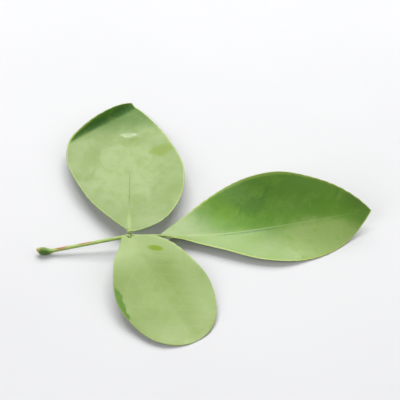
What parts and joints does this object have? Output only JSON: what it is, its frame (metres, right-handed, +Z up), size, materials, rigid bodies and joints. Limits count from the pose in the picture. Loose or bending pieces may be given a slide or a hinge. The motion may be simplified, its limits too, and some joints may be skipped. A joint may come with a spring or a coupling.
{
  "type": "bael leaf",
  "caption": "Picked trifoliate bael leaf lying flat: a thin stalk with two oval side leaflets and a longer, gently folded and twisted end leaflet.",
  "frame": {"origin": "on the surface that the leaf lies on, below the middle of its bounding box", "axes": "+X runs from the foot of the stalk to the tip of the end leaflet, +Y is the leaf's left, +Z is up out of the upper face"},
  "size_m": [0.119, 0.1098, 0.0176],
  "materials": {
    "leaflet": "fresh leathery leaf blade, semi-matte with a pale waxy sheen",
    "stalk": "fresh green stalk, smooth and semi-matte"
  },
  "bodies": {
    "root": {"petiole": "stalk", "terminal_leaflet": "leaflet", "left_leaflet": "leaflet", "right_leaflet": "leaflet"}
  },
  "joints": []
}
